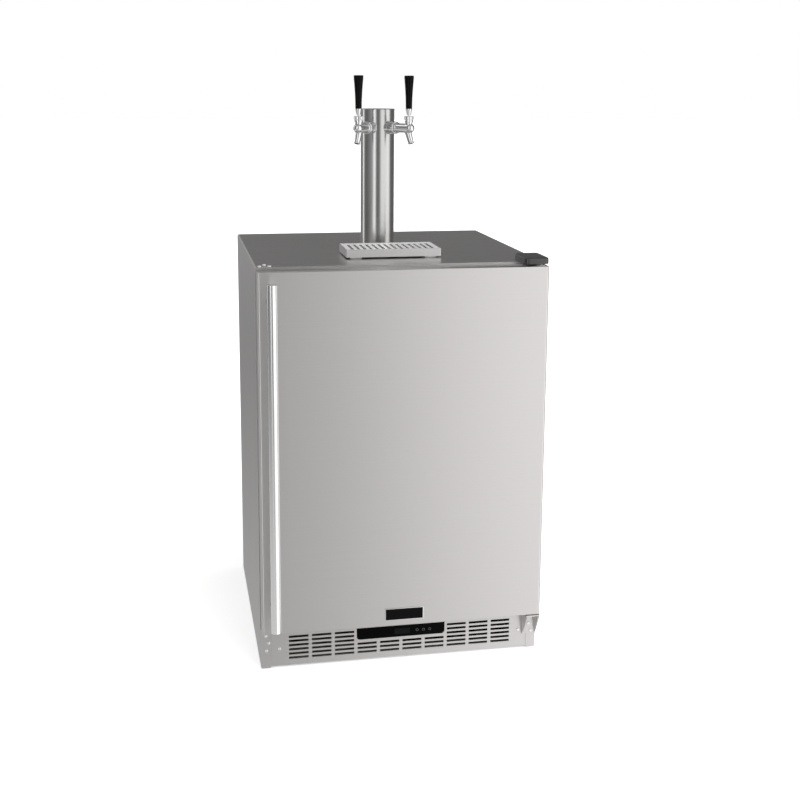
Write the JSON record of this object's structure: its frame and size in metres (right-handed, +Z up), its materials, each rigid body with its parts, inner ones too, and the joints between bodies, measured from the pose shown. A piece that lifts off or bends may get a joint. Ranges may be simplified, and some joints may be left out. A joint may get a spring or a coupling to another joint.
{
  "type": "kegerator",
  "caption": "Undercounter beer dispenser: stainless cabinet with a hinged door and bar handle, toe grille, drip tray and a tower with two lever taps.",
  "frame": {"origin": "on the floor, below the middle of the whole machine's outline", "axes": "+Z up, -Y towards the user (the door's face), +X to the right as one faces the door"},
  "size_m": [0.608, 0.6656, 1.2515],
  "materials": {
    "stainless": "satin",
    "polished_steel": "polished",
    "chrome": "polished",
    "galvanised": "satin",
    "liner_plastic": "satin",
    "foam": "matte",
    "black_plastic": "satin",
    "tap_grip": "gloss",
    "panel_gloss": "gloss",
    "badge": "satin",
    "compressor_paint": "satin",
    "bare_aluminium": "satin",
    "brass": "satin",
    "valve_wheel_green": "satin",
    "beer_hose": "gloss",
    "gas_hose": "satin",
    "gasket_rubber": "matte",
    "plug_plastic": "satin",
    "bush_nylon": "satin",
    "zinc": "satin"
  },
  "bodies": {
    "cabinet": {"cabinet_wrap": "stainless", "corner_posts": "stainless", "front_grille": "stainless", "tower_column": "stainless", "tower_cap": "stainless", "lower_hinge_bracket": "stainless", "upper_hinge_plate": "stainless", "cabinet_screws": "polished_steel", "tap_shanks": "chrome", "shank_rings": "chrome", "coupling_nuts": "chrome", "bonnet_rings": "chrome", "faucet_body_left": "chrome", "faucet_body_right": "chrome", "keg_couplers": "chrome", "back_panel": "galvanised", "base_pan": "galvanised", "fan_shroud": "galvanised", "tower_bolts": "galvanised", "inner_liner": "liner_plastic", "cabinet_foam": "foam", "tower_sleeve": "foam", "hinge_cover": "black_plastic", "cord_gland": "black_plastic", "control_panel": "panel_gloss", "compressor": "compressor_paint", "condenser_coil": "bare_aluminium", "cold_plate": "bare_aluminium", "gas_cylinder": "bare_aluminium", "gas_regulator": "brass", "beer_lines": "beer_hose", "gas_line": "gas_hose", "hinge_hole_plugs": "plug_plastic"},
    "door": {"door_skin": "stainless", "door_foam": "foam", "door_liner": "liner_plastic", "door_gasket": "gasket_rubber", "handle_bar": "polished_steel", "handle_posts": "polished_steel", "door_badge": "badge", "hinge_bushes": "bush_nylon"},
    "left_tap_lever": {"faucet_lever_left": "chrome", "tap_handle_left": "tap_grip"},
    "right_tap_lever": {"faucet_lever_right": "chrome", "tap_handle_right": "tap_grip"},
    "left_tap_shaft": {"faucet_shaft_left": "chrome"},
    "right_tap_shaft": {"faucet_shaft_right": "chrome"},
    "tray": {"drip_tray": "stainless"},
    "grid": {"drip_grid": "stainless"},
    "fan": {"condenser_fan": "black_plastic"},
    "valve_wheel": {"gas_valve_wheel": "valve_wheel_green"},
    "pressure_knob": {"regulator_knob": "black_plastic"},
    "left_coupler_lever": {"coupler_lever_left": "chrome"},
    "right_coupler_lever": {"coupler_lever_right": "chrome"},
    "left_coupler_probe": {"coupler_probe_left": "black_plastic"},
    "right_coupler_probe": {"coupler_probe_right": "black_plastic"},
    "front_left_foot": {"foot_front_left": "zinc"},
    "front_right_foot": {"foot_front_right": "zinc"},
    "rear_left_foot": {"foot_rear_left": "zinc"},
    "rear_right_foot": {"foot_rear_right": "zinc"}
  },
  "joints": [
    {"name": "door_hinge", "type": "hinge", "parent": "cabinet", "child": "door", "pos_m": [0.289, -0.2578, 0.48], "axis": [0, 0, 1], "range_deg": [0, 110]},
    {"name": "left_tap_lever_hinge", "type": "hinge", "parent": "cabinet", "child": "left_tap_lever", "pos_m": [-0.05621, -0.00808, 1.157], "axis": [0.8192, -0.5736, 0], "range_deg": [0, 22]},
    {"name": "left_tap_shaft_slide", "type": "slide", "parent": "cabinet", "child": "left_tap_shaft", "axis": [0.5736, 0.8192, 0], "range_m": [0, 0.00828]},
    {"name": "right_tap_lever_hinge", "type": "hinge", "parent": "cabinet", "child": "right_tap_lever", "pos_m": [0.05621, -0.00808, 1.157], "axis": [0.8192, 0.5736, 0], "range_deg": [0, 22]},
    {"name": "right_tap_shaft_slide", "type": "slide", "parent": "cabinet", "child": "right_tap_shaft", "axis": [-0.5736, 0.8192, 0], "range_m": [0, 0.00828]},
    {"name": "tray_lift", "type": "slide", "parent": "cabinet", "child": "tray", "axis": [0, 0, 1], "range_m": [0, 0.1]},
    {"name": "grid_lift", "type": "slide", "parent": "tray", "child": "grid", "axis": [0, 0, 1], "range_m": [0, 0.04]},
    {"name": "fan_spin", "type": "hinge", "parent": "cabinet", "child": "fan", "pos_m": [-0.07, 0.1472, 0.098], "axis": [0, 1, 0], "continuous": true},
    {"name": "valve_wheel_turn", "type": "hinge", "parent": "cabinet", "child": "valve_wheel", "pos_m": [-0.165, 0.1842, 0.652], "axis": [0, 0, 1], "range_deg": [0, 540]},
    {"name": "pressure_knob_turn", "type": "hinge", "parent": "cabinet", "child": "pressure_knob", "pos_m": [-0.099, 0.1482, 0.626], "axis": [0, -1, 0], "range_deg": [-720, 720]},
    {"name": "left_coupler_lever_hinge", "type": "hinge", "parent": "cabinet", "child": "left_coupler_lever", "pos_m": [0.025, 0.1372, 0.352], "axis": [1, 0, 0], "range_deg": [0, 50]},
    {"name": "left_coupler_probe_slide", "type": "slide", "parent": "cabinet", "child": "left_coupler_probe", "axis": [0, 0, -1], "range_m": [0, 0.0112]},
    {"name": "right_coupler_lever_hinge", "type": "hinge", "parent": "cabinet", "child": "right_coupler_lever", "pos_m": [0.165, 0.1372, 0.352], "axis": [1, 0, 0], "range_deg": [0, 50]},
    {"name": "right_coupler_probe_slide", "type": "slide", "parent": "cabinet", "child": "right_coupler_probe", "axis": [0, 0, -1], "range_m": [0, 0.0112]},
    {"name": "front_left_foot_screw", "type": "slide", "parent": "cabinet", "child": "front_left_foot", "axis": [0, 0, -1], "range_m": [0, 0.02]},
    {"name": "front_right_foot_screw", "type": "slide", "parent": "cabinet", "child": "front_right_foot", "axis": [0, 0, -1], "range_m": [0, 0.02]},
    {"name": "rear_left_foot_screw", "type": "slide", "parent": "cabinet", "child": "rear_left_foot", "axis": [0, 0, -1], "range_m": [0, 0.02]},
    {"name": "rear_right_foot_screw", "type": "slide", "parent": "cabinet", "child": "rear_right_foot", "axis": [0, 0, -1], "range_m": [0, 0.02]}
  ],
  "couplings": [
    {"joint": "left_tap_shaft_slide", "follows": "left_tap_lever_hinge", "m_per_rad": 0.021045},
    {"joint": "right_tap_shaft_slide", "follows": "right_tap_lever_hinge", "m_per_rad": 0.021045},
    {"joint": "left_coupler_probe_slide", "follows": "left_coupler_lever_hinge", "m_per_rad": 0.012605},
    {"joint": "right_coupler_probe_slide", "follows": "right_coupler_lever_hinge", "m_per_rad": 0.012605}
  ]
}
